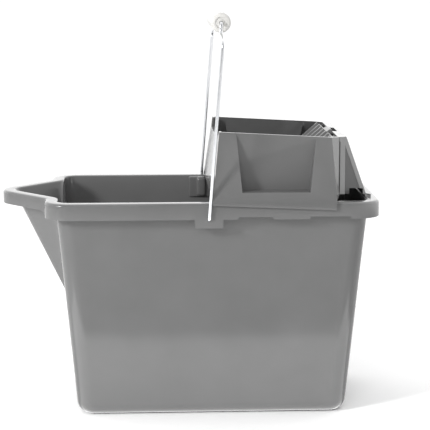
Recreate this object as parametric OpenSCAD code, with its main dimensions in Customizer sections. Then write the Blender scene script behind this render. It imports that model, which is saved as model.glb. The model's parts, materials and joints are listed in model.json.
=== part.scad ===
// Household mop bucket with a pouring spout, a wire bail and a lift-off wringer.
// The pouring spout points along -X, the wringer sits over the +X half, and +Z is up.
// The origin is on the floor, under the middle of the overall length and width.

/* [Bucket] */
// Length of the rim without the spout
rim_l = 392; // [326:1:480]
// Width of the rim
rim_w = 250; // [208:1:300]
// Height of the bucket
bucket_h = 262; // [218:1:315]
// Corner radius of the rim in plan
rim_corner_r = 30; // [22:1:45]
// Width of the rim flange, from its outer edge to the inner wall
rim_flange = 15; // [13:0.5:17]
// Thickness of the rim flange and its apron
rim_t = 2.8; // [2:0.1:3.5]
// Height of the apron that hangs from the rim
apron_h = 19; // [15:0.5:24]
// Wall thickness of the body
wall = 2.8; // [2:0.1:3.5]
// Thickness of the floor
floor_t = 3.2; // [2.5:0.1:5]
// Draft of the walls, in degrees
draft = 5; // [3:0.25:7]
// Corner radius of the body in plan
body_r = 20; // [17:1:26]
// Radius of the edge between the walls and the floor
base_edge_r = 14; // [8:1:15]

/* [Spout] */
// How far the spout reaches beyond the rim
spout_out = 55.4; // [45:0.5:66]
// Tip radius of the spout in plan
spout_r = 37; // [30:1:42]
// Distance of the spout's flanks from the rounds of the rim's corners, where they leave the rim
spout_side = 18; // [11:1:27]
// Depth of the spout's keel below the rim
spout_drop = 140; // [110:1:170]
// Radius of the corner between the spout and the rim
spout_fillet = 8; // [5:0.5:9]

/* [Bail] */
// Diameter of the bail wire
wire_d = 4; // [3.3:0.1:5]
// Distance of the bail pivot behind the middle of the rim
pivot_x = -5.3; // [-10:0.1:-2]
// Depth of the bail pivot below the rim
pivot_drop = 19.5; // [18:0.5:21]
// Width of the ears that hold the bail
ear_w = 33; // [26:1:40]
// How far the ears hang below the apron
ear_drop = 10; // [8:0.5:14]
// Depth of the ears, from the rim's outer face to the inside
ear_depth = 24; // [21:0.5:25]
// Depth of the blind holes for the bail
ear_hole_l = 21; // [15:0.5:21]
// Height of the grip axis above the pivot
bail_h = 224; // [190:1:270]
// Lean of the bail towards the wringer at rest, in degrees
bail_lean = 4.4; // [4:0.1:5]
// Distance of the shoulders below the grip axis
shoulder_drop = 15; // [14:0.5:22]
// Diameter of the grip
grip_d = 23.5; // [20:0.5:30]
// Length of the grip
grip_l = 118; // [100:1:126]

/* [Wringer] */
// Distance of the wringer's long sides from the rear end of the rim
rear_space = 53.55; // [44.55:0.5:62.55]
// Height of the wringer's front corner above the rim
wringer_h = 78.5; // [70:0.5:84]
// Slope of the wringer's top edge towards the rear, in degrees
top_slope = 3; // [2:0.25:4]
// Lean of the wringer's front wall, in degrees
front_lean = 6.9; // [6:0.1:8]
// Distance of the wringer's top edge inside the sides of the rim
top_inset = 37; // [30:0.5:41]
// Wall thickness of the wringer
wringer_t = 2.8; // [2.2:0.1:3.2]
// How far the skirt hangs below the rim at the front
skirt_front = 2; // [1:0.5:4]
// How far the skirt hangs below the rim at the rear
skirt_rear = 8.5; // [6:0.5:11]
// Distance of the front wall's top edge below the side walls
front_step = 11; // [8:0.5:16]
// Distance of the side recesses from the front edge at the top
recess_from_front = 20; // [17:0.5:24]
// Distance of the side recesses from the rear edge at the top
recess_from_rear = 17.26; // [14.26:0.5:25.26]
// Height of the recess shelf above the rim
recess_floor = 12; // [10:0.5:16]
// Distance of the hump's sides inside the wringer's top edge
hump_inset = 9; // [8:0.5:14]
// How far the foot of the hump reaches onto the rim flange
hump_rest = 3.45; // [1.45:0.5:6.45]
// Length of the hump at the top, beyond the wringer's sides
hump_top_l = 17; // [14:0.5:20]

/* [Press] */
// Diameter of the steel rod that the press plate turns on
rod_d = 6; // [5:0.5:8]
// Distance of the rod behind the front edge of the wringer
rod_from_front = 48; // [46:0.5:54]
// Depth of the rod below the rim
rod_drop = 19; // [17:0.5:22]
// Gap between the top edge of the press plate and the wall behind it
press_back_gap = 2.6; // [2:0.1:5]
// Depth of the press plate's top edge below the wringer's top edge
press_top_drop = 3.4; // [3:0.1:8]
// Thickness of the press plate
press_t = 3; // [2.5:0.1:4]
// Number of ribs on each press face
ribs = 7; // [5:2:9]
// Height of the ribs
rib_h = 4; // [3:0.5:6]
// Diameter of the spring wire
spring_wire_d = 1.6; // [1.2:0.1:2]
// Number of turns in each spring
spring_turns = 6.25; // [4.25:1:7.25]

/* [Fits] */
// Running clearance on radius of the bail, the grip and the rod
run_gap = 0.08; // [0.04:0.01:0.1]
// Gap between parts that slide or swing past each other
swing_gap = 0.4; // [0.3:0.05:0.6]

/* [Hidden] */
$fn = 64;
eps = 0.01;
far = 600;
hull_fn = 32;

// The whole object sits with the middle of its length over the origin.
rim_x = spout_out / 2;

// Body of the bucket
inner_half_l = rim_l / 2 - rim_flange;
inner_half_w = rim_w / 2 - rim_flange;
function drafted(half, z) = half + wall - (bucket_h - z) * tan(draft);

// Spout outline: a tip circle, and flanks tangent to it that meet the rim's end
spout_half_w = rim_w / 2 - rim_corner_r - spout_side;
tip_x = -rim_l / 2 - spout_out + spout_r;
flank_dx = -rim_l / 2 - tip_x;
flank_a = atan2(spout_half_w, flank_dx)
        + acos(spout_r / sqrt(flank_dx * flank_dx + spout_half_w * spout_half_w));
flank_n = [cos(flank_a), sin(flank_a)];
function flank_y(x, r) = (r - (x - tip_x) * flank_n.x) / flank_n.y;
fillet_c = [-rim_l / 2 - spout_fillet, flank_y(-rim_l / 2 - spout_fillet, spout_r + spout_fillet)];
keel_foot_r = 4;
spout_apron_h = apron_h - 4;

// Notches in the lower edge of the apron, as shares of half the rim's length
notch_h = 3;
notches = [for (share = [[0.1454, 0.352], [0.5714, 0.8112]]) share * rim_l / 2];

// Ears and bail
pivot_z = bucket_h - pivot_drop;
function hundredths(v) = round(v * 100) / 100;
arm_y = hundredths(rim_w / 2 + swing_gap + wire_d / 2);
stub_end_y = hundredths(rim_w / 2 - ear_hole_l + 1);
shoulder_y = hundredths(grip_l / 2 + 8);
bend_r = 5;
bail_path = [[stub_end_y, 0], [arm_y, 0], [arm_y, bail_h - shoulder_drop],
             [shoulder_y, bail_h - shoulder_drop], [shoulder_y, bail_h], [0, bail_h]];
bail_bends = [0, wire_d, 9, bend_r, bend_r, 0];
ear_hole_d = wire_d + 2 * run_gap;
grip_end_r = 4;

// Wringer: heights are lines that fall towards the rear
skirt_y = rim_w / 2 + swing_gap + wringer_t;
front_foot_z = bucket_h - skirt_front;
front_foot_x = pivot_x + (front_foot_z - pivot_z) * tan(bail_lean) + wire_d / 2 / cos(bail_lean)
             + swing_gap;
function front_x(z) = front_foot_x + (z - front_foot_z) * tan(front_lean);
rear_x = rim_l / 2 - rear_space;
rear_lean = 2;
return_l = 9;
post_x = rear_x + return_l;
hump_top_x = rear_x - rear_lean + hump_top_l;
hump_foot_x = inner_half_l + hump_rest;
top_half_w = rim_w / 2 - top_inset;
hump_half_w = top_half_w - hump_inset;
top_front_z = bucket_h + wringer_h;
function top_z(x) = top_front_z - (x - front_x(top_front_z)) * tan(top_slope);
function skirt_z(x) = front_foot_z
                    - (x - front_foot_x) / (rear_x - front_foot_x) * (skirt_rear - skirt_front);
seat_t = 3;
kink_z = bucket_h + seat_t;
recess_lean = 8.6;
recess_taper = 8;
recess_shift = 3;
panel_foot_y = top_half_w + (wringer_h - recess_floor) * tan(recess_lean);
recess_x0 = front_x(top_front_z) + recess_from_front;
recess_x1 = rear_x - rear_lean - recess_from_rear;
shelf_z = bucket_h + recess_floor;
cheek_y = panel_foot_y;
cheek_drop = 36;
cheek_front = 28;
cheek_l = 96;
tie_gap = 2;
tie_w = 8;
stop_y = 45;
stop_t = 2.5;
stop_l = 12;
thumb_w = 32;
window_l = 16;
window_h = 10;
edge_w = 5.5;
edge_out = 1.2;

// Press plate: it turns on the rod, and its foot lies under the mop
rod_x = front_foot_x + rod_from_front;
rod_z = bucket_h - rod_drop;
barrel_r = rod_d / 2 + 4;
press_top = [post_x - wringer_t - press_back_gap, top_z(post_x) - press_top_drop];
press_angle = atan2(press_top.y - rod_z, press_top.x - rod_x);
press_l = norm(press_top - [rod_x, rod_z]);
press_corner_l = 16;
press_corner_w = hump_half_w - wringer_t - 1.2;
tie_h = cheek_drop - rod_drop - barrel_r - tie_gap;
press_half_w = top_half_w - wringer_t - 3;
press_foot_half_w = cheek_y - wringer_t - 3;
foot_l = 26;
spring_r = rod_d / 2 + run_gap + 0.5 + spring_wire_d / 2;
spring_pitch = spring_wire_d * 1.12;
spring_w = spring_pitch * spring_turns + spring_wire_d;
spring_gap = spring_w + 4;
spring_y = 60;
spring_sides = 8;
spring_steps = 20;
cap_r = 5;
cap_t = 3.5;
cap_gap = 0.2;
cap_end_t = 0.7;
rod_half_l = cheek_y + cap_gap + cap_t - cap_end_t;
drain_step = 12;
drain_w = 5;
drain_l = foot_l - 16;
drain_from_edge = 4;

// Front plate: it stands inside the front wall and is screwed to it
front_plate_t = 3;
plate_gap = 0.1;
front_plate_half_w = cheek_y - wringer_t - 6;
front_plate_h = 58;
front_plate_z = bucket_h + 4;
screw_d = 4;
screw_head_d = 8;
plate_rib_w = 3;
plate_rib_step = 2 * (front_plate_half_w - 2 * plate_rib_w) / (ribs - 1);
screw_y = front_plate_half_w - 2 * plate_rib_w - 0.694 * plate_rib_step;
screw_levels = [12, 46];
screw_head_h = 2.4;
screw_skin = 0.6;
screw_hole_l = wringer_t + plate_gap - screw_skin;
screw_shank_l = screw_hole_l - 0.1;

module placed() translate([rim_x, 0, 0]) children();

// Rounded rectangle around the origin, in exact arcs
module rounded(half_l, half_w, r) {
    square([2 * half_l, 2 * (half_w - r)], center = true);
    square([2 * (half_l - r), 2 * half_w], center = true);
    for (sx = [-1, 1], sy = [-1, 1]) translate([sx * (half_l - r), sy * (half_w - r)]) circle(r);
}

// Outline of the rim and spout, drawn inset all round by the given distance
module rim_outline(inset) {
    rounded(rim_l / 2 - inset, rim_w / 2 - inset, rim_corner_r - inset);
    r = spout_r - inset;
    base_x = -rim_l / 2 + rim_flange + wall;
    translate([tip_x, 0]) circle(r);
    polygon([[tip_x + r * flank_n.x, r * flank_n.y], [base_x, flank_y(base_x, r)],
             [base_x, -flank_y(base_x, r)], [tip_x + r * flank_n.x, -r * flank_n.y]]);
    for (s = [-1, 1]) scale([1, s]) spout_corner(inset);
}

// Fillet between the spout's flank and the rim's end
module spout_corner(inset) {
    r = spout_fillet + inset;
    end_x = -rim_l / 2 + inset;
    difference() {
        polygon([[end_x, flank_y(end_x, spout_r - inset)], [end_x, fillet_c.y], fillet_c,
                 fillet_c - r * flank_n]);
        translate(fillet_c) circle(r);
    }
}

// Drafted box with rounded corners and a rounded floor edge, made smaller by the inset
module body_form(inset, floor_z, top) {
    edge_r = base_edge_r - inset;
    corner_r = body_r - inset;
    hull() {
        for (sx = [-1, 1], sy = [-1, 1]) {
            translate([sx * (drafted(inner_half_l, 0) - body_r), sy * (drafted(inner_half_w, 0) - body_r),
                       floor_z])
                rotate_extrude($fn = hull_fn) {
                    square([corner_r - edge_r, edge_r]);
                    translate([corner_r - edge_r, edge_r]) intersection() {
                        circle(edge_r, $fn = hull_fn);
                        translate([0, -edge_r]) square([edge_r, edge_r]);
                    }
                }
            translate([sx * (drafted(inner_half_l, top) - body_r),
                       sy * (drafted(inner_half_w, top) - body_r), top - eps])
                cylinder(r = corner_r, h = eps, $fn = hull_fn);
        }
    }
}

// Pouring trough under the spout, from its outline down to a point on the end wall
module trough_form(inset, top) {
    r = spout_r - inset;
    base_x = -inner_half_l + body_r;
    keel_z = bucket_h - spout_drop + inset;
    hull() {
        translate([tip_x, 0, top - eps]) cylinder(r = r, h = eps, $fn = 2 * hull_fn);
        translate([base_x, 0, top - eps]) linear_extrude(eps)
            square([eps, 2 * flank_y(base_x, r)], center = true);
        translate([-drafted(inner_half_l, keel_z) + inset, 0, keel_z])
            sphere(keel_foot_r, $fn = 16);
        translate([base_x, 0, keel_z]) sphere(keel_foot_r, $fn = 16);
    }
}

module rim() {
    base = bucket_h - apron_h;
    difference() {
        translate([0, 0, base]) linear_extrude(apron_h) rim_outline(0);
        translate([0, 0, base - eps]) linear_extrude(apron_h - rim_t + eps) rim_outline(rim_t);
        translate([0, 0, base - eps]) linear_extrude(apron_h + 1) rim_outline(rim_flange);
        translate([-far - rim_l / 2 - spout_fillet, -far / 2, base - eps])
            cube([far, far, apron_h - spout_apron_h]);
        for (n = notches) translate([n[0], -far / 2, base - eps])
            cube([n[1] - n[0], far, notch_h + eps]);
    }
}

// Ear on one side: a closed boss from the apron to the inside of the wall
module ear() {
    h = apron_h + ear_drop - eps;
    translate([pivot_x - ear_w / 2, rim_w / 2 - ear_depth, bucket_h - h - eps])
        cube([ear_w, ear_depth, h]);
}

module bucket() color("#75777a") placed() {
    difference() {
        union() {
            difference() {
                union() {
                    body_form(0, 0, bucket_h - eps);
                    trough_form(rim_flange - wall, bucket_h - eps);
                }
                body_form(wall, floor_t, bucket_h + 1);
                trough_form(rim_flange, bucket_h + 1);
            }
            rim();
            for (s = [-1, 1]) scale([1, s, 1]) ear();
        }
        for (s = [-1, 1]) translate([pivot_x, s * rim_w / 2, pivot_z]) rotate([s * 90, 0, 0]) {
            translate([0, 0, -1]) cylinder(d = ear_hole_d, h = ear_hole_l + 1);
            translate([0, 0, -eps]) cylinder(d1 = ear_hole_d + wire_d / 2, d2 = ear_hole_d, h = wire_d / 2);
        }
    }
}

// Round wire that follows points in the YZ plane, with a bend radius at each point
function unit(v) = v / norm(v);
function turn(a, b) = acos(max(-1, min(1, a * b)));
function trim(p, r, i) = i == 0 || i == len(p) - 1 ? 0
    : r[i] * tan(turn(unit(p[i] - p[i - 1]), unit(p[i + 1] - p[i])) / 2);

module wire(p, r, d) {
    for (i = [0 : len(p) - 2]) {
        dir = unit(p[i + 1] - p[i]);
        start = p[i] + dir * trim(p, r, i);
        length = norm(p[i + 1] - p[i]) - trim(p, r, i) - trim(p, r, i + 1);
        translate([0, start.x, start.y]) rotate([atan2(-dir.x, dir.y), 0, 0])
            cylinder(d = d, h = length);
    }
    for (i = [1 : len(p) - 2]) {
        a = unit(p[i] - p[i - 1]);
        b = unit(p[i + 1] - p[i]);
        bend = turn(a, b);
        centre = p[i] + unit(b - a) * r[i] / cos(bend / 2);
        left = a.x * b.y - a.y * b.x > 0;
        start = left ? p[i] - a * trim(p, r, i) - centre : p[i] + b * trim(p, r, i) - centre;
        translate([0, centre.x, centre.y]) rotate([90, 0, 90])
            rotate([0, 0, atan2(start.y, start.x)])
                rotate_extrude(angle = bend) translate([r[i], 0]) circle(d = d);
    }
}

module on_bail() placed() translate([pivot_x, 0, pivot_z]) rotate([0, bail_lean, 0]) children();

module bail_wire() color("#d9dbde") on_bail() {
    wire(bail_path, bail_bends, wire_d);
    mirror([0, 1, 0]) wire(bail_path, bail_bends, wire_d);
}

// Roller grip: a tube with rounded ends that turns on the wire
module bail_grip() color("#ececea") on_bail() translate([0, 0, bail_h]) rotate([90, 0, 0])
    rotate_extrude() difference() {
        union() {
            square([grip_d / 2 - grip_end_r, grip_l / 2]);
            square([grip_d / 2, grip_l / 2 - grip_end_r]);
            translate([grip_d / 2 - grip_end_r, grip_l / 2 - grip_end_r]) circle(grip_end_r);
            mirror([0, 1]) {
                square([grip_d / 2 - grip_end_r, grip_l / 2]);
                square([grip_d / 2, grip_l / 2 - grip_end_r]);
                translate([grip_d / 2 - grip_end_r, grip_l / 2 - grip_end_r]) circle(grip_end_r);
            }
        }
        translate([-1, -far / 2]) square([1 + wire_d / 2 + run_gap, far]);
    }

// Solid between rings that hold the same number of points, from the lowest up
module loft(rings) {
    n = len(rings[0]);
    top = (len(rings) - 1) * n;
    sides = [for (k = [0 : len(rings) - 2], i = [0 : n - 1])
        let (a = k * n + i, b = k * n + (i + 1) % n) each [[a, a + n, b], [b, a + n, b + n]]];
    polyhedron([for (r = rings) each r],
               concat([[for (i = [0 : n - 1]) i]], sides, [[for (i = [n - 1 : -1 : 0]) top + i]]));
}

// Plan of the wringer at one level: long sides, slanted rear returns and a rear face
function wringer_plan(x0, x1, x2, y, y2) =
    [[x0, -y], [x1, -y], [x2, -y2], [x2, y2], [x1, y], [x0, y]];
function at_heights(plan, z) = [for (p = plan) [p.x, p.y, z[0] + z[1] * p.x]];
function z_line(x0, z0, x1, z1) = let (k = (z1 - z0) / (x1 - x0)) [z0 - k * x0, k];

top_line = z_line(0, top_z(0), 100, top_z(100));
skirt_line = z_line(0, skirt_z(0), 100, skirt_z(100));

module wringer_outer() loft([
    at_heights(wringer_plan(front_foot_x, rear_x, post_x, skirt_y, hump_half_w), skirt_line),
    at_heights(wringer_plan(front_x(kink_z), rear_x, post_x, skirt_y, hump_half_w), [kink_z, 0]),
    at_heights(wringer_plan(front_x(top_front_z), rear_x - rear_lean, post_x, top_half_w, hump_half_w),
               top_line)]);

// The hollow over the seat runs on past the top edge
module wringer_inner() {
    over = 6;
    lean_y = (skirt_y - top_half_w) / (top_front_z - kink_z);
    wall_y = wringer_t * sqrt(1 + lean_y * lean_y);
    t = wringer_t;
    loft([
        at_heights(wringer_plan(front_x(kink_z) + t, rear_x - t, post_x - t,
                                skirt_y - wall_y, hump_half_w - t), [kink_z, 0]),
        at_heights(wringer_plan(front_x(top_front_z + over) + t, rear_x - rear_lean - t, post_x - t,
                                top_half_w - wall_y - over * lean_y, hump_half_w - t),
                   top_line + [over, 0])]);
}

// Wedge-shaped recess in one long side, made larger by the growth
module recess(grow) {
    over = 8;
    lean = tan(recess_lean);
    low_z = shelf_z - grow;
    high_z = top_front_z + over;
    low_y = panel_foot_y - grow + grow * lean;
    high_y = low_y - (high_z - low_z) * lean;
    function box_ring(x0, x1, y, z) = [[x0, y, z], [x1, y, z], [x1, far / 2, z], [x0, far / 2, z]];
    loft([box_ring(recess_x0 + recess_taper - recess_shift - grow,
                   recess_x1 - recess_taper - recess_shift + grow, low_y, low_z),
          box_ring(recess_x0 - 1 - grow, recess_x1 + 1 + grow, high_y, high_z)]);
}

// Side outline of the hump, moved in by the inset from its sloped face and its top
function hump_side(inset, x0, z0) = let (slope = z_line(bucket_h, hump_foot_x, top_z(hump_top_x),
                                                        hump_top_x + 2))
    [[x0, z0], [x0, top_z(x0) - inset],
     [slope[0] + slope[1] * (top_z(hump_top_x) - inset) - inset, top_z(hump_top_x) - inset],
     [slope[0] + slope[1] * z0 - inset, z0]];

module extrude_y(half_w) rotate([90, 0, 0]) linear_extrude(2 * half_w, center = true) children();

module hump_outer() {
    extrude_y(hump_half_w) polygon(hump_side(0, post_x - wringer_t, bucket_h));
    intersection() {
        extrude_y(hump_half_w + edge_out) difference() {
            polygon(hump_side(0, post_x - wringer_t, bucket_h));
            polygon(hump_side(edge_w, post_x - 1, bucket_h - 1));
        }
        translate([post_x - 1, -far / 2, 0]) cube(far);
    }
    for (s = [-1, 1]) translate([post_x, s * hump_half_w, bucket_h])
        translate([0, -edge_out, 0]) cube([6, 2 * edge_out, top_z(post_x) - bucket_h - 2]);
}

module hump_inner() extrude_y(hump_half_w - wringer_t)
    polygon(hump_side(wringer_t, rear_x - 12, bucket_h - 1));

// Side plates that reach into the bucket and carry the rod, and the bar that ties them
module cheeks() {
    low_z = bucket_h - cheek_drop;
    for (s = [-1, 1]) scale([1, s, 1])
        translate([rod_x - cheek_front, cheek_y - wringer_t, low_z])
            cube([cheek_l, wringer_t, shelf_z - low_z]);
    translate([rod_x - spring_r + spring_wire_d / 2, -cheek_y + 1, low_z])
        cube([tie_w, 2 * cheek_y - 2, tie_h]);
}

// Ribs under the top of the hump, where the press plate rests
module press_stops() for (s = [-1, 1]) translate([0, s * stop_y, 0]) extrude_y(stop_t / 2)
    difference() {
        polygon(hump_side(1, post_x - stop_l, bucket_h + 45));
        translate([rod_x, rod_z]) rotate(press_angle) translate([0, -swing_gap]) square(far);
    }

module wringer_seat() difference() {
    translate([front_foot_x + 1, -skirt_y + 1, bucket_h])
        cube([hump_foot_x - front_foot_x + 3, 2 * skirt_y - 2, seat_t]);
    translate([front_x(bucket_h) + wringer_t, -cheek_y + wringer_t, bucket_h - 1])
        cube([hump_foot_x - wringer_t - front_x(bucket_h) - wringer_t, 2 * cheek_y - 2 * wringer_t, 9]);
    for (s = [-1, 1]) translate([rear_x, s * (hump_half_w + skirt_y), 0])
        cube([far, 2 * skirt_y - edge_out * 2, far], center = true);
}

module wringer_frame() color("#75777a") placed() difference() {
    union() {
        difference() {
            union() {
                wringer_outer();
                hump_outer();
            }
            difference() {
                union() {
                    wringer_inner();
                    hump_inner();
                }
                for (s = [-1, 1]) scale([1, s, 1]) recess(wringer_t);
            }
            for (s = [-1, 1]) scale([1, s, 1]) recess(0);
            translate([-far / 2, -rim_w / 2 - swing_gap, bucket_h - far])
                cube([far, rim_w + 2 * swing_gap, far + seat_t]);
            translate([front_foot_x - 9, 10 - top_half_w, top_front_z - front_step])
                cube([30, 2 * top_half_w - 20, front_step * 2]);
            for (s = [-1, 1]) translate([hump_foot_x - edge_w - window_l, s * hump_half_w - 5, bucket_h])
                cube([window_l, 10, window_h]);
        }
        wringer_seat();
        cheeks();
        press_stops();
    }
    translate([post_x - 6, -thumb_w / 2 - 3, top_z(post_x) - 8]) cube([10, thumb_w + 6, far]);
    translate([rod_x, 0, rod_z]) rotate([90, 0, 0])
        cylinder(d = rod_d + 2 * run_gap, h = far, center = true);
    screw_places() translate([0, 0, -screw_hole_l]) cylinder(d = screw_d, h = screw_hole_l + far / 4);
}

// Runs its children at each screw, +Z pointing out of the front plate towards the mop
module screw_places() for (s = [-1, 1], level = screw_levels)
    translate([front_x(front_plate_z + level) + wringer_t + plate_gap, s * screw_y,
               front_plate_z + level])
        rotate([0, 90 + front_lean, 0]) children();

module press_plane() translate([rod_x, 0, rod_z]) rotate([0, -press_angle, 0]) children();

// Round gaps along the rod where the springs sit
module spring_gaps() for (s = [-1, 1]) translate([0, s * spring_y, 0]) rotate([90, 0, 0])
    cylinder(r = barrel_r + 3, h = spring_gap, center = true);

module press_plate() color("#6c6e71") placed() difference() {
    union() {
        press_plane() {
            linear_extrude(press_t) polygon([
                [2, -press_foot_half_w + 1], [press_l - press_corner_l, -press_half_w],
                [press_l, -press_corner_w], [press_l, press_corner_w],
                [press_l - press_corner_l, press_half_w], [2, press_foot_half_w - 1]]);
            rib_step = 2 * (press_half_w - 12) / (ribs - 1);
            for (i = [0 : ribs - 1]) translate([barrel_r + 6, -press_half_w + 12 + i * rib_step - 1.5, 1])
                cube([press_l - barrel_r - 7, 3, press_t + rib_h - 1]);
            translate([press_l - 8, -thumb_w / 2, -2]) cube([10.5, thumb_w, 6]);
            translate([press_l + 2.5, 0, 1]) rotate([90, 0, 0]) cylinder(r = 3, h = thumb_w, center = true);
        }
        translate([rod_x, 0, rod_z]) {
            rotate([90, 0, 0]) cylinder(r = barrel_r, h = 2 * press_foot_half_w, center = true);
            translate([-foot_l, 1 - press_foot_half_w, -press_t / 2])
                cube([foot_l, 2 * press_foot_half_w - 2, press_t]);
        }
    }
    translate([rod_x, 0, rod_z]) {
        rotate([90, 0, 0]) cylinder(d = rod_d + 2 * run_gap, h = far, center = true);
        spring_gaps();
        for (i = [-6 : 6]) if (abs(abs(i * drain_step) - spring_y) > spring_gap / 2 + drain_w)
            translate([drain_from_edge - foot_l, i * drain_step - drain_w / 2, -far / 2])
                cube([drain_l, drain_w, far]);
    }
}

module press_rod() color("#b9bcc0") placed() translate([rod_x, 0, rod_z]) rotate([90, 0, 0])
    cylinder(d = rod_d, h = 2 * rod_half_l, center = true);

// Push-on caps that keep the rod in place, outside the cheeks
module rod_caps() color("#55575a") placed() for (s = [-1, 1])
    translate([rod_x, s * (cheek_y + cap_gap), rod_z]) rotate([-s * 90, 0, 0]) difference() {
        cylinder(r = cap_r, h = cap_t);
        translate([0, 0, -eps]) cylinder(d = rod_d, h = cap_t - cap_end_t + eps);
    }

// Torsion spring: a coil round the rod, one leg down against the tie bar, one on the plate
leg_down = 20;
leg_up = 26;
spring_sweep = 360 * floor(spring_turns) + 180 - (90 + press_angle);
function coil_point(t) = let (a = 180 - t * spring_sweep)
    [spring_r * cos(a), (t - 0.5) * (spring_w - spring_wire_d), spring_r * sin(a)];
spring_path = concat(
    [[-spring_r, -(spring_w - spring_wire_d) / 2, -leg_down],
     [-spring_r, -(spring_w - spring_wire_d) / 2, -leg_down / 2]],
    [for (i = [0 : spring_steps * floor(spring_turns)]) coil_point(i / (spring_steps * floor(spring_turns)))],
    [coil_point(1) + leg_up / 2 * [cos(press_angle), 0, sin(press_angle)],
     coil_point(1) + leg_up * [cos(press_angle), 0, sin(press_angle)]]);

// Ring of points round a path point, square to the path and turned with the coil's axis
function path_dir(p, i) = unit(p[min(i + 1, len(p) - 1)] - p[max(i - 1, 0)]);
function path_ring(p, i, r) = let (t = path_dir(p, i), u = unit(cross(t, [0, 1, 0])), v = cross(t, u))
    [for (k = [0 : spring_sides - 1]) let (a = 360 * k / spring_sides)
        p[i] + r * (cos(a) * u + sin(a) * v)];

module press_spring(side) color("#c8cacd") placed()
    translate([rod_x, side * spring_y, rod_z]) scale([1, side, 1])
        loft([for (i = [0 : len(spring_path) - 1]) path_ring(spring_path, i, spring_wire_d / 2)]);

// Ribbed plate that the mop is squeezed against
module front_plate() color("#6c6e71") placed() difference() {
    translate([front_x(front_plate_z) + wringer_t + plate_gap, 0, front_plate_z]) rotate([0, front_lean, 0]) {
        translate([0, -front_plate_half_w, 0])
            cube([front_plate_t, 2 * front_plate_half_w, front_plate_h]);
        for (i = [0 : ribs - 1])
            translate([0, -front_plate_half_w + 1.5 * plate_rib_w + i * plate_rib_step, 0])
                cube([front_plate_t + rib_h, plate_rib_w, front_plate_h]);
    }
    screw_places() cylinder(d = screw_d, h = far / 2);
}

module front_plate_screws() color("#b9bcc0") placed() screw_places() {
    translate([0, 0, -screw_shank_l]) cylinder(d = screw_d, h = screw_shank_l + front_plate_t + eps);
    translate([0, 0, front_plate_t]) cylinder(d = screw_head_d, h = screw_head_h);
}

bucket();
bail_wire();
bail_grip();
wringer_frame();
press_plate();
press_rod();
rod_caps();
press_spring(-1);  // press_spring_near
press_spring(1);  // press_spring_far
front_plate();
front_plate_screws();
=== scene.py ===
"""Mop bucket with a pouring spout, a wire bail and a lift-off wringer.

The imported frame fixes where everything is. The pieces here give it its looks: the smooth moulded bucket,
the rounded edges of the wringer and its press, the bent wire, the roller grip and their materials.
"""

import json
import math

import bmesh
import bpy
from mathutils import Matrix, Vector


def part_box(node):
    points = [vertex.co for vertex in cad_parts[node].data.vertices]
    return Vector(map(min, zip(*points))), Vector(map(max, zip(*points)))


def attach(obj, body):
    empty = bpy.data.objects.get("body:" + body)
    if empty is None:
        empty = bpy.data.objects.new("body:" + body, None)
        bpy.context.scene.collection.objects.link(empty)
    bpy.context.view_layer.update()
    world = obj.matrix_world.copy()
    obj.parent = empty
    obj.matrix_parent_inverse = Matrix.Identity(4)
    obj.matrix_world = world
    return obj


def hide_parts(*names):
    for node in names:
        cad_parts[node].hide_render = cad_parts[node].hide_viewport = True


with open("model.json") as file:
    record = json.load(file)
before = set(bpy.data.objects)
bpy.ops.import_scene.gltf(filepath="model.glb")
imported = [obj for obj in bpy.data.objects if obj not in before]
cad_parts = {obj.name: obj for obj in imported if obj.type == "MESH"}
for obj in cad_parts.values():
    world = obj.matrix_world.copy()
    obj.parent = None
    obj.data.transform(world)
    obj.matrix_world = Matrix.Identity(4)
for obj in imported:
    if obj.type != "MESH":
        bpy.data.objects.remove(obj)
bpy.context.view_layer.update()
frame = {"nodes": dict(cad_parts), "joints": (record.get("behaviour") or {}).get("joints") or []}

MM = 0.001

# ---------------------------------------------------------------- sizes, in millimetres

BUCKET_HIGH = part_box("bucket")[1] / MM
SPOUT_OUT = 55.4
RIM_X = SPOUT_OUT / 2
RIM_HALF_L = BUCKET_HIGH.x - RIM_X
RIM_HALF_W = BUCKET_HIGH.y
RIM_TOP = BUCKET_HIGH.z
RIM_CORNER_R = 30
FLANGE = 15
RIM_T = 2.8
RIM_EDGE_R = 3.2
RIM_INNER_R = 2.0
APRON = 19
SPOUT_APRON = 15
# The apron changes to the spout's height this far past the rim's end
SPOUT_APRON_FROM = 3
NOTCH = 3
NOTCHES = ((28.5, 69), (112, 159))

WALL = 2.8
FLOOR = 3.2
DRAFT = math.tan(math.radians(5))
BODY_R = 20
# Near the rim the body's corners tighten: by how much, and over what height
TIGHTER = 2.2
TIGHTER_OVER = 60
BASE_EDGE_R = 14
# The middle of a long wall sinks in by this much, as a large moulding shrinks
SINK = 2.6
# The underside stands on a flat ring and is a little hollow inside it
FOOT_IN = 7
FOOT_UP = 1.4
FOOT_SLOPE = 1.5

SPOUT_R = 37
SPOUT_HALF_W = 77
SPOUT_FILLET = 8
KEEL_DROP = 140
KEEL_R = 4
# Blends between the spout and the wall: at the rim as a share of the fillet, then at the keel and the lip
RIM_BLEND = 0.3
KEEL_BLEND = 2
LIP_BLEND = 7

PIVOT_X = -5.3
EAR_HALF_W = 16.5
EAR_DROP = 10
EAR_DEPTH = 24
BOSS_IN = 0.6
BOSS_R = 2.2
TOWER_HALF_W = 6.5
TOWER_R = 4.2

WIRE_R = 2.0
BAIL_LEAN = math.radians(4.4)
BAIL_H = 224
SWING_GAP = 0.4
ARM_Y = RIM_HALF_W + SWING_GAP + WIRE_R
ARM_TOP = 206
SHOULDER_Y = 67
SHOULDER_TOP = 212
STUB_END_Y = 104.5
BEND_R = 5
ARM_BEND_R = 9
GRIP_HOLE_R = 2.08
GRIP_EDGE_R = 3.2


def joint(name):
    """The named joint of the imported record."""
    return next(j for j in frame["joints"] if j["name"] == name)


# ---------------------------------------------------------------- mesh helpers

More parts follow.
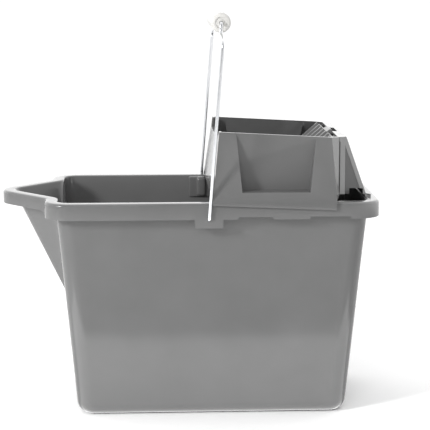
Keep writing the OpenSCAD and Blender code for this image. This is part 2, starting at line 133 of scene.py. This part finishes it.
# Corners closer than this are one corner, and triangles within this angle are one flat face
WELD = 0.002
FLAT_DEG = 0.6


def skin(bm, rings):
    """Extrudes an edge loop through rings of equally many points. Returns the first and last loops."""
    verts = [bm.verts.new(Vector(p) * MM) for p in rings[0]]
    edges = [bm.edges.new((a, b)) for a, b in zip(verts, verts[1:] + verts[:1])]
    first = verts
    for ring in rings[1:]:
        grown = bmesh.ops.extrude_edge_only(bm, edges=edges)["geom"]
        new = {v for v in grown if isinstance(v, bmesh.types.BMVert)}
        edges = [e for e in grown if isinstance(e, bmesh.types.BMEdge)]
        verts = [next(e.other_vert(v) for e in v.link_edges if e.other_vert(v) in new) for v in verts]
        for v, p in zip(verts, ring):
            v.co = Vector(p) * MM
    return first, verts


def finish_mesh(bm, name, sharp_deg=35):
    """Makes an object of the bmesh, smooth except where faces meet at more than the sharp angle."""
    bm.normal_update()
    for f in bm.faces:
        f.smooth = True
    for e in bm.edges:
        e.smooth = len(e.link_faces) == 2 and e.calc_face_angle(0) < math.radians(sharp_deg)
    mesh = bpy.data.meshes.new(name)
    bm.to_mesh(mesh)
    bm.free()
    piece = bpy.data.objects.new(name, mesh)
    bpy.context.scene.collection.objects.link(piece)
    return piece


def soften(piece, width, segments=3, angle_deg=30):
    """Rounds the sharp edges of a piece."""
    mod = piece.modifiers.new("soften", "BEVEL")
    mod.width = width * MM
    mod.segments = segments
    mod.limit_method = "ANGLE"
    mod.angle_limit = math.radians(angle_deg)
    mod.harden_normals = True
    mod.use_clamp_overlap = True
    mod.miter_outer = "MITER_ARC"


def install(piece, body, material, node):
    """Puts a finished piece on its body, in place of a CAD node, with its material."""
    piece.data.materials.append(material)
    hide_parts(node)
    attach(piece, body)


def flat_faced(node):
    """A mesh like the CAD node's, with its triangles merged to flat faces."""
    bm = bmesh.new()
    bm.from_mesh(frame["nodes"][node].data)
    bmesh.ops.remove_doubles(bm, verts=bm.verts, dist=WELD * MM)
    bmesh.ops.dissolve_limit(bm, angle_limit=math.radians(FLAT_DEG), verts=bm.verts, edges=bm.edges)
    bm.normal_update()
    return bm


def rounded_copy(node, name, width):
    """A copy of a CAD node with flat faces and rounded edges."""
    piece = finish_mesh(flat_faced(node), name)
    soften(piece, width)
    return piece


def tube(bm, path, radius, sides):
    """A round rod along a path of points, closed at both ends."""
    rings = []
    side = None
    for i, p in enumerate(path):
        ahead = (path[min(i + 1, len(path) - 1)] - path[max(i - 1, 0)]).normalized()
        if side is None:
            side = ahead.orthogonal().normalized()
        side = (side - ahead * side.dot(ahead)).normalized()
        up = ahead.cross(side)
        turns = [2 * math.pi * k / sides for k in range(sides)]
        rings.append([p + radius * (math.cos(a) * side + math.sin(a) * up) for a in turns])
    for loop in skin(bm, rings):
        bm.faces.new(loop)
    bmesh.ops.recalc_face_normals(bm, faces=bm.faces)


def rounded_path(points, radii, steps=10):
    """A path through points, with a bend of the given radius at each inner one."""
    path = [points[0]]
    for before, p, after, r in zip(points, points[1:], points[2:], radii):
        a, b = (p - before).normalized(), (after - p).normalized()
        bend = a.angle(b)
        centre = p + (b - a).normalized() * r / math.cos(bend / 2)
        start = p - a * r * math.tan(bend / 2) - centre
        axis = a.cross(b).normalized()
        path += [centre + Matrix.Rotation(bend * k / steps, 3, axis) @ start for k in range(steps + 1)]
    return path + [points[-1]]


# ---------------------------------------------------------------- materials

PLASTIC_IOR = 1.49


def rgb(code):
    """Linear colour of an sRGB hex code such as #7a7c80."""
    srgb = [int(code[i:i + 2], 16) / 255 for i in (1, 3, 5)]
    return [c / 12.92 if c <= 0.04045 else ((c + 0.055) / 1.055) ** 2.4 for c in srgb] + [1.0]


def add(tree, kind, inputs=None, **settings):
    """Adds a node, with its settings, input values and links."""
    made = tree.nodes.new(kind)
    for key, value in settings.items():
        setattr(made, key, value)
    for key, value in (inputs or {}).items():
        if isinstance(value, bpy.types.NodeSocket):
            tree.links.new(value, made.inputs[key])
        else:
            made.inputs[key].default_value = value
    return made


def surface(name, roughness, metallic=0.0):
    """A material with a plain Principled shader, and its tree, shader and object coordinates."""
    material = bpy.data.materials.new(name)
    material.use_nodes = True
    tree = material.node_tree
    shader = tree.nodes["Principled BSDF"]
    shader.inputs["Roughness"].default_value = roughness
    shader.inputs["Metallic"].default_value = metallic
    if not metallic:
        shader.inputs["IOR"].default_value = PLASTIC_IOR
    coords = add(tree, "ShaderNodeTexCoord").outputs["Object"]
    return material, tree, shader, coords


def two_tone(tree, shader, pattern, low, high, dark, light):
    """Tints the base colour from dark to light, as the pattern rises from low to high."""
    tones = add(tree, "ShaderNodeValToRGB", {"Fac": pattern.outputs["Fac"]})
    ends = tones.color_ramp.elements
    ends[0].position, ends[0].color = low, rgb(dark)
    ends[1].position, ends[1].color = high, rgb(light)
    tree.links.new(tones.outputs["Color"], shader.inputs["Base Color"])


def moulded(name, dark, light, gloss, dull, peel_um=6.0, scuff=0.25):
    """Injection-moulded plastic: cloudy pigment, a polished mould's faint waves and a few dull scuffs.

    The clouds are 70 mm across, the scuffs 22 mm and drawn out along X, and the waves 14 mm. The skin's fine
    grain is 1.3 mm across, coarser than the real one, so that it shows.
    """
    material, tree, shader, coords = surface(name, gloss)
    cloud = add(tree, "ShaderNodeTexNoise", {"Vector": coords, "Scale": 1 / (70 * MM), "Detail": 3.0})
    two_tone(tree, shader, cloud, 0.3, 0.7, dark, light)
    smear = add(tree, "ShaderNodeMapping", {"Vector": coords, "Scale": (0.35, 1.0, 1.6)})
    patch = add(tree, "ShaderNodeTexNoise", {"Vector": smear.outputs["Vector"], "Scale": 1 / (22 * MM),
                                             "Detail": 5.0, "Roughness": 0.6})
    spread = add(tree, "ShaderNodeMapRange", {"Value": patch.outputs["Fac"], "From Min": 0.45,
                                              "From Max": 0.75, "To Min": gloss,
                                              "To Max": gloss + (dull - gloss) * scuff})
    tree.links.new(spread.outputs["Result"], shader.inputs["Roughness"])
    wave = add(tree, "ShaderNodeTexNoise", {"Vector": coords, "Scale": 1 / (14 * MM), "Detail": 1.0})
    peel = add(tree, "ShaderNodeTexNoise", {"Vector": coords, "Scale": 1 / (1.3 * MM), "Detail": 2.0})
    both = add(tree, "ShaderNodeMath", {0: wave.outputs["Fac"], 1: 4.0, 2: peel.outputs["Fac"]},
               operation="MULTIPLY_ADD")
    bump = add(tree, "ShaderNodeBump", {"Height": both.outputs["Value"], "Distance": peel_um * 1e-6,
                                        "Strength": 1.0})
    tree.links.new(bump.outputs["Normal"], shader.inputs["Normal"])
    return material


def grey_polypropylene():
    """Grey polypropylene from a polished mould: glossy, with clear soft reflections."""
    return moulded("grey polypropylene, glossy moulded", "#595959", "#5e5e5e", 0.13, 0.35)


def press_polypropylene():
    """The same plastic from a mould with a finer matt finish, for the press and its front plate."""
    return moulded("grey polypropylene, satin moulded", "#6e6e6e", "#737373", 0.28, 0.5)


def white_polypropylene():
    """Off-white polypropylene of the roller grip, with a satin finish and light handling wear."""
    return moulded("white polypropylene, satin moulded", "#b9b8b5", "#c1c0bd", 0.3, 0.6, 8.0, 0.5)


def cap_nylon():
    """Black nylon of the push-on caps: dark, with a satin skin."""
    return moulded("black nylon, satin moulded", "#1d1d1f", "#242426", 0.4, 0.6)


def metal(name, dark, light, roughness, scratch_mm, stretch, height_um):
    """Metal with drawn or turned marks, which can be stretched along an axis.

    The marks lie 0.5 to 0.8 mm apart, further than the real ones, so that they show.
    """
    material, tree, shader, coords = surface(name, roughness, metallic=1.0)
    run = add(tree, "ShaderNodeMapping", {"Vector": coords, "Scale": stretch})
    marks = add(tree, "ShaderNodeTexNoise", {"Vector": run.outputs["Vector"],
                                             "Scale": 1 / (scratch_mm * MM),
                                             "Detail": 4.0, "Roughness": 0.6})
    two_tone(tree, shader, marks, 0.35, 0.65, dark, light)
    spread = add(tree, "ShaderNodeMapRange", {"Value": marks.outputs["Fac"], "From Min": 0.3,
                                              "From Max": 0.7, "To Min": roughness * 0.8,
                                              "To Max": roughness * 1.5})
    tree.links.new(spread.outputs["Result"], shader.inputs["Roughness"])
    bump = add(tree, "ShaderNodeBump", {"Height": marks.outputs["Fac"], "Distance": height_um * 1e-6,
                                        "Strength": 1.0})
    tree.links.new(bump.outputs["Normal"], shader.inputs["Normal"])
    return material


def bright_wire():
    """Drawn steel wire, bright zinc plated: a mirror-like skin with fine marks along the wire."""
    return metal("steel wire, bright zinc plated", "#cfd1d4", "#e2e3e5", 0.14, 0.8, (1.0, 1.0, 0.06), 3.0)


def zinc_steel():
    """Turned steel, zinc plated: pale grey and silky."""
    return metal("steel, zinc plated", "#a9acb0", "#c0c2c5", 0.26, 0.6, (1.0, 0.1, 1.0), 3.0)


def spring_steel():
    """Drawn stainless spring wire: mid grey, with a soft shine."""
    return metal("spring steel, drawn", "#9a9b9e", "#b4b5b8", 0.22, 0.5, (1.0, 1.0, 1.0), 2.0)


# ---------------------------------------------------------------- bucket

CORNER_STEPS = 8
END_STEPS = 8
SPOUT_STEPS = 96
SIDE_STEPS = 26
LEVEL_STEPS = 30
ROUND_STEPS = 5
BASE_STEPS = 7
# A step in the apron's edge is drawn between two stations this far apart, clear of the even ones
STEP_GAP = 0.5
STATION_CLEAR = 4
# Stations this far out or further are spread to fit a shorter or longer wall
SPREAD_X = 120
TIP_U = RIM_HALF_L + SPOUT_OUT - SPOUT_R
FLANK_ANGLE = (math.atan2(SPOUT_HALF_W, RIM_HALF_L - TIP_U)
               - math.acos(SPOUT_R / math.hypot(SPOUT_HALF_W, RIM_HALF_L - TIP_U)))
FLANK_OUT = math.cos(FLANK_ANGLE)
FLANK_SIDE = math.sin(FLANK_ANGLE)


def side_stations(half):
    """Places along a long side: an even spacing, with a close pair at each step of the apron's edge."""
    steps = [x for pair in NOTCHES for x in pair] + [PIVOT_X - EAR_HALF_W, PIVOT_X + EAR_HALF_W]
    pairs = [x + s * STEP_GAP / 2 for x in steps for s in (-1, 1)]
    even = [-half + 2 * half * k / SIDE_STEPS for k in range(1, SIDE_STEPS)]
    clear = [x for x in even if min(abs(x - s) for s in steps) > STATION_CLEAR]
    return sorted(pairs + clear)


STATION_REACH = RIM_HALF_L - RIM_CORNER_R
STATIONS = side_stations(STATION_REACH)


def smooth_max(a, b, k):
    """The larger of two, with a round blend where they are within k of each other."""
    h = max(k - abs(a - b), 0) / k
    return max(a, b) + h * h * k / 4


def spout_reach(y, wall_u, tip_u, tip_r, fillet):
    """How far the outline reaches towards the spout, at a distance y from the middle.

    wall_u is the end wall's reach, tip_u the reach of the tip circle's centre, and tip_r its radius.
    """
    y = abs(y)
    if y < tip_r * FLANK_SIDE:
        out = tip_u + math.sqrt(tip_r * tip_r - y * y)
    else:
        out = tip_u + (tip_r - y * FLANK_SIDE) / FLANK_OUT
    return smooth_max(out, wall_u, fillet)


def plan_ring(half_l, half_w, r, tip_u, tip_r, fillet, z, sink=0.0):
    """One closed outline of the bucket, anticlockwise from above. The middle of a long wall can sink in.

    z is a height, or a function of x and y.
    """
    points = []

    def bow(x):
        return -sink * max(0.0, 1 - (x / half_l) ** 2)

    def corner(sx, sy, start):
        for k in range(CORNER_STEPS + 1):
            a = math.radians(start + 90 * k / CORNER_STEPS)
            points.append((sx * (half_l - r) + r * math.cos(a), sy * (half_w - r) + r * math.sin(a)))

    def spread(x):
        share = max(0.0, (abs(x) - SPREAD_X) / (STATION_REACH - SPREAD_X))
        return x * (1 + ((half_l - r) / STATION_REACH - 1) * share)

    inner = [spread(x) for x in STATIONS]
    span = half_w - r
    points += [(x, -half_w - bow(x)) for x in inner]
    corner(1, -1, -90)
    points += [(half_l, span * (2 * k / END_STEPS - 1)) for k in range(1, END_STEPS)]
    corner(1, 1, 0)
    points += [(x, half_w + bow(x)) for x in reversed(inner)]
    corner(-1, 1, 90)
    for k in range(1, SPOUT_STEPS):
        y = span * (1 - 2 * k / SPOUT_STEPS)
        points.append((-spout_reach(y, half_l, tip_u, tip_r, fillet), y))
    corner(-1, -1, 180)
    height = z if callable(z) else lambda x, y: z
    return [(x + RIM_X, y, height(x, y)) for x, y in points]


def rim_ring(inset, z):
    """The rim's outline, drawn inset all round."""
    return plan_ring(RIM_HALF_L - inset, RIM_HALF_W - inset, RIM_CORNER_R - inset, TIP_U, SPOUT_R - inset,
                     RIM_BLEND * (SPOUT_FILLET + inset), z)


def body_ring(inset, z, shrink=0.0):
    """The wall's outline at a height: drafted sides and the spout's trough, drawn inset and then shrunk."""
    rise = RIM_TOP - z
    half_l = RIM_HALF_L - FLANGE + WALL - rise * DRAFT - inset - shrink
    half_w = RIM_HALF_W - FLANGE + WALL - rise * DRAFT - inset - shrink
    r = BODY_R - TIGHTER * max(0.0, 1 - rise / TIGHTER_OVER) - inset - shrink
    keel_z = RIM_TOP - KEEL_DROP + inset
    keel_u = RIM_HALF_L - FLANGE + WALL - (RIM_TOP - keel_z) * DRAFT - inset - KEEL_R
    t = max(0.0, (z - keel_z) / (RIM_TOP - keel_z))
    tip_u = keel_u + t * (TIP_U - keel_u) if t else 0.0
    tip_r = (1 - t) * KEEL_R + t * (SPOUT_R - FLANGE + WALL - inset)
    sink = SINK * math.sin(math.pi * min(1.0, max(0.0, z / RIM_TOP)))
    blend = KEEL_BLEND + (LIP_BLEND - KEEL_BLEND) * t
    return plan_ring(half_l, half_w, max(r, 1.0), tip_u, tip_r, blend, z, sink)


def quarter(steps):
    """Angles of a quarter turn, from 0 up."""
    return [math.radians(90 * k / steps) for k in range(steps + 1)]


def base_arc(inset, floor_z):
    """Rings round the edge between the floor and the wall, from the floor up."""
    r = BASE_EDGE_R - inset
    return [body_ring(inset, floor_z + r * (1 - math.cos(a)), r * (1 - math.sin(a)))
            for a in quarter(BASE_STEPS)]


def apron_edge(x, y):
    """Height of the apron's lower edge: it drops at the ears and rises at the notches and the spout."""
    if x < -RIM_HALF_L - SPOUT_APRON_FROM:
        return RIM_TOP - SPOUT_APRON
    if abs(y) > RIM_HALF_W - RIM_CORNER_R:
        if abs(x - PIVOT_X) < EAR_HALF_W:
            return RIM_TOP - APRON - EAR_DROP
        if any(low < x < high for low, high in NOTCHES):
            return RIM_TOP - APRON + NOTCH
    return RIM_TOP - APRON


def wall_levels(start, end):
    """Evenly spaced heights of the wall's rings from start to end, without the start."""
    return [start + (end - start) * k / LEVEL_STEPS for k in range(1, LEVEL_STEPS + 1)]


def boss_box(bm, side, half_w, outer_in, inner_in, low_z, round_r):
    """A rounded block behind an ear, between two depths inside the rim's side."""
    size = (2 * half_w, inner_in - outer_in, RIM_TOP - RIM_T / 2 - low_z)
    centre = (RIM_X + PIVOT_X, side * (RIM_HALF_W - (outer_in + inner_in) / 2), low_z + size[2] / 2)
    cube = bmesh.ops.create_cube(bm, size=1.0)["verts"]
    bmesh.ops.scale(bm, verts=cube, vec=Vector(size) * MM)
    bmesh.ops.translate(bm, verts=cube, vec=Vector(centre) * MM)
    edges = {e for v in cube for e in v.link_edges}
    bmesh.ops.bevel(bm, geom=list(edges), offset=round_r * MM, segments=5, profile=0.5, affect="EDGES",
                    material=-1)


def ear_boss(bm, side):
    """The closed boss behind an ear, and the tower that carries the wire's hole on through the wall."""
    low_z = RIM_TOP - APRON - EAR_DROP + BOSS_IN
    boss_box(bm, side, EAR_HALF_W - BOSS_IN, 1, EAR_DEPTH - 3, low_z, BOSS_R)
    boss_box(bm, side, TOWER_HALF_W, 3, EAR_DEPTH + 0.5, low_z + 1, TOWER_R)


def outer_rings():
    """Rings of the bucket's outside, from the hollow of its foot up to the underside of the rim."""
    foot_in = body_ring(0, 0, BASE_EDGE_R + FOOT_IN)
    foot_up = [(x, y, FOOT_UP) for x, y, z in body_ring(0, 0, BASE_EDGE_R + FOOT_IN + FOOT_SLOPE)]
    wall = [body_ring(0, z) for z in wall_levels(BASE_EDGE_R, RIM_TOP - RIM_T)]
    return [foot_up, foot_in] + base_arc(0, 0) + wall


def rim_rings():
    """Rings under the flange, round the apron's edge and over the rim's two rounded edges."""
    under = [rim_ring(RIM_T, RIM_TOP - RIM_T), rim_ring(RIM_T, apron_edge), rim_ring(0, apron_edge)]
    outer = [rim_ring(RIM_EDGE_R * (1 - math.cos(a)), RIM_TOP - RIM_EDGE_R * (1 - math.sin(a)))
             for a in quarter(ROUND_STEPS)]
    inner = [body_ring(WALL - RIM_INNER_R * (1 - math.sin(a)), RIM_TOP - RIM_INNER_R * (1 - math.cos(a)))
             for a in quarter(ROUND_STEPS)]
    return under + outer + inner


def inner_rings():
    """Rings of the bucket's inside, from the rim's inner edge down to the floor."""
    wall = [body_ring(WALL, z) for z in wall_levels(RIM_TOP - RIM_INNER_R, FLOOR + BASE_EDGE_R - WALL)]
    return wall + base_arc(WALL, FLOOR)[::-1][1:]


def make_bucket(material):
    """The bucket: one skin from the foot over the rim to the inner floor, and a boss behind each ear."""
    bm = bmesh.new()
    for loop in skin(bm, outer_rings() + rim_rings() + inner_rings()):
        bm.faces.new(loop)
    bmesh.ops.recalc_face_normals(bm, faces=bm.faces)
    for side in (-1, 1):
        ear_boss(bm, side)
    piece = finish_mesh(bm, "bucket_moulding", 30)
    soften(piece, 0.5, 2, 40)
    install(piece, "bucket", material, "bucket")


# ---------------------------------------------------------------- bail and grip

BAIL_POS = Vector(joint("bail_swing")["pos_m"]) / MM


def on_bail(y, v):
    """A point of the bail's plane: y across, v up along the leaning arms from the pivot."""
    return BAIL_POS + Vector((v * math.sin(BAIL_LEAN), y, v * math.cos(BAIL_LEAN)))


def make_bail(material):
    """The bail: one wire from ear to ear, bent at the pivots, the arms' tops and the shoulders."""
    half = [on_bail(y, v) for y, v in ((STUB_END_Y, 0), (ARM_Y, 0), (ARM_Y, ARM_TOP),
                                       (SHOULDER_Y, SHOULDER_TOP), (SHOULDER_Y, BAIL_H))]
    other = [Vector((p.x, -p.y, p.z)) for p in reversed(half)]
    bends = [BEND_R, ARM_BEND_R, BEND_R, BEND_R]
    bm = bmesh.new()
    tube(bm, rounded_path(half + other, bends + bends[::-1]), WIRE_R, 20)
    piece = finish_mesh(bm, "bail_bent_wire", 50)
    install(piece, "bail", material, "bail_wire")


def grip_profile(r, half_l):
    """Half outline of the roller, as radius and place along it: rounded edges, dished ends and hubs."""
    hole = GRIP_HOLE_R
    edge = [(r - GRIP_EDGE_R * (1 - math.cos(a)), half_l - GRIP_EDGE_R * (1 - math.sin(a)))
            for a in quarter(6)]
    dish = [(r - 4.6, half_l), (r - 5.4, half_l - 1.2)]
    hub = [(hole + 2.4, half_l - 1.2), (hole + 1.8, half_l - 0.4), (hole + 0.4, half_l - 0.4),
           (hole, half_l - 0.9)]
    half = [(r, half_l * 0.5)] + edge + dish + hub
    return [(q, -y) for q, y in reversed(half)] + [(r, 0)] + half


def make_grip(material):
    """The roller grip, spun round the wire."""
    low, high = (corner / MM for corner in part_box("bail_grip"))
    profile = grip_profile((high.z - low.z) / 2, high.y)
    centre = on_bail(0, BAIL_H)
    bm = bmesh.new()
    verts = [bm.verts.new((centre + Vector((q, y, 0))) * MM) for q, y in profile]
    edges = [bm.edges.new(pair) for pair in zip(verts, verts[1:] + verts[:1])]
    bmesh.ops.spin(bm, geom=verts + edges, cent=centre * MM, axis=(0, 1, 0), angle=2 * math.pi, steps=64,
                   use_merge=True, use_duplicate=False)
    bmesh.ops.remove_doubles(bm, verts=bm.verts, dist=0.001 * MM)
    bmesh.ops.recalc_face_normals(bm, faces=bm.faces)
    piece = finish_mesh(bm, "roller_grip", 40)
    install(piece, "grip", material, "bail_grip")


# ---------------------------------------------------------------- wringer and press

HUMP_HALF_W = 79
BAND_OUT = 1.2
BAND_LEAN = 6.4
# Two points on the hump's sloped rear face, as x and z
HUMP_FOOT = (212.15, 262)
HUMP_TOP = (187.15, 332.7)
# How close a point lies to the slope and to the band's side to belong to the band
ON_SLOPE = 0.6
ON_SIDE = 0.2


def lean_bands(bm):
    """Leans the raised bands beside the hump's slope inwards, as chamfers to its rear face."""
    run = (HUMP_TOP[0] - HUMP_FOOT[0]) / (HUMP_TOP[1] - HUMP_FOOT[1])
    for v in bm.verts:
        x, y, z = v.co / MM
        on_slope = abs(x - HUMP_FOOT[0] - run * (z - HUMP_FOOT[1])) < ON_SLOPE
        if on_slope and abs(abs(y) - HUMP_HALF_W - BAND_OUT) < ON_SIDE:
            v.co.y -= math.copysign(BAND_LEAN * MM, y)


def wringer_moulding():
    """The wringer's frame with rounded edges and the bands beside its hump leaned in."""
    bm = flat_faced("wringer_frame")
    lean_bands(bm)
    piece = finish_mesh(bm, "wringer_moulding")
    soften(piece, 1.2)
    return piece


def make_wringer(grey, satin, zinc, nylon, spring):
    """The wringer with its press. The springs stay as the frame has them, with their own material."""
    install(wringer_moulding(), "wringer", grey, "wringer_frame")
    plate = rounded_copy("press_plate", "press_ramp", 0.6)
    install(plate, "press", satin, "press_plate")
    front = rounded_copy("front_plate", "front_ribbed_plate", 0.5)
    install(front, "wringer", satin, "front_plate")
    screws = rounded_copy("front_plate_screws", "front_plate_screw_set", 0.5)
    install(screws, "wringer", zinc, "front_plate_screws")
    caps = rounded_copy("rod_caps", "rod_cap_pair", 0.6)
    install(caps, "wringer", nylon, "rod_caps")
    rod = rounded_copy("press_rod", "press_rod_turned", 0.4)
    install(rod, "wringer", zinc, "press_rod")
    for side in ("near", "far"):
        slots = frame["nodes"][f"press_spring_{side}"].data.materials
        slots.clear()
        slots.append(spring)


# ---------------------------------------------------------------- camera, floor and light

def put(name, data, place):
    """Adds a camera or a light to the scene at a place in metres."""
    made = bpy.data.objects.new(name, data)
    made.location = place
    bpy.context.scene.collection.objects.link(made)
    return made


def make_camera():
    """A long lens, a little above the rim and almost square to the bucket's long side."""
    data = bpy.data.cameras.new("camera")
    data.lens = 130.9
    data.sensor_width = 36
    data.clip_end = 50
    camera = put("camera", data, (-0.058, -1.9, 0.551))
    tilt_down, turn = 9.65, -2.81
    camera.rotation_euler = (math.radians(90 - tilt_down), 0, math.radians(turn))
    bpy.context.scene.camera = camera


def make_floor():
    """A wide, plain white floor with a faint paper grain 2 mm across."""
    bm = bmesh.new()
    bmesh.ops.create_grid(bm, x_segments=1, y_segments=1, size=30)
    floor = finish_mesh(bm, "floor")
    material, tree, shader, coords = surface("white paper floor", 0.9)
    grain = add(tree, "ShaderNodeTexNoise", {"Vector": coords, "Scale": 1 / (2 * MM), "Detail": 2.0})
    two_tone(tree, shader, grain, 0.3, 0.7, "#fafafa", "#fcfcfc")
    shader.inputs["Specular IOR Level"].default_value = 0.0
    floor.data.materials.append(material)


def aim(light, target):
    """Turns a light to shine at a point."""
    light.rotation_euler = (Vector(target) - light.location).to_track_quat("-Z", "Y").to_euler()


def area_light(name, place, size, power):
    """A rectangular lamp that the camera doesn't see. Sizes are in metres and the power in watts."""
    data = bpy.data.lights.new(name, "AREA")
    data.shape = "RECTANGLE"
    data.size, data.size_y = size
    data.energy = power
    light = put(name, data, place)
    light.visible_camera = False
    return light


def snoot(name, place, target, cone_deg, power):
    """A narrow round beam without a highlight."""
    data = bpy.data.lights.new(name, "SPOT")
    data.spot_size = math.radians(cone_deg)
    data.spot_blend = 0.6
    data.shadow_soft_size = 0.02
    data.energy = power
    light = put(name, data, place)
    light.visible_glossy = False
    aim(light, target)


def make_world(front, back):
    """A white room, darker on the camera's side. The strength runs from front to back along Y."""
    world = bpy.data.worlds.new("studio")
    world.use_nodes = True
    tree = world.node_tree
    towards = add(tree, "ShaderNodeTexCoord").outputs["Generated"]
    axes = add(tree, "ShaderNodeSeparateXYZ", {"Vector": towards})
    level = add(tree, "ShaderNodeMapRange", {"Value": axes.outputs["Y"], "From Min": -0.8, "From Max": 0.8,
                                             "To Min": front, "To Max": back})
    background = tree.nodes["Background"]
    background.inputs["Color"].default_value = (1, 1, 1, 1)
    tree.links.new(level.outputs["Result"], background.inputs["Strength"])
    bpy.context.scene.world = world


def make_light():
    """The room, a soft fill in front, a beam on the rear, a key lamp at the left and a floor strip."""
    make_world(0.47, 1.75)
    softbox = area_light("front softbox", (-0.3, -2.2, 1.3), (1.2, 0.8), 14)
    aim(softbox, (0.05, 0, 0.25))
    softbox.visible_glossy = False
    snoot("rear return snoot", (1.5, -0.1, 0.56), (0.172, -0.1, 0.3), 5.5, 200)
    key = area_light("left key", (-1.9, -1.45, 1.25), (0.4, 0.5), 50)
    aim(key, (0, 0, 0.25))
    strip = area_light("bright floor in front", (0.0, -0.2, 0.001), (0.9, 0.25), 1.5)
    strip.rotation_euler = (math.pi, 0, 0)
    strip.visible_diffuse = False


make_camera()
grey = grey_polypropylene()
make_bucket(grey)
make_bail(bright_wire())
make_grip(white_polypropylene())
make_wringer(grey, press_polypropylene(), zinc_steel(), cap_nylon(), spring_steel())
make_floor()
make_light()
bpy.context.scene.view_settings.view_transform = "Standard"
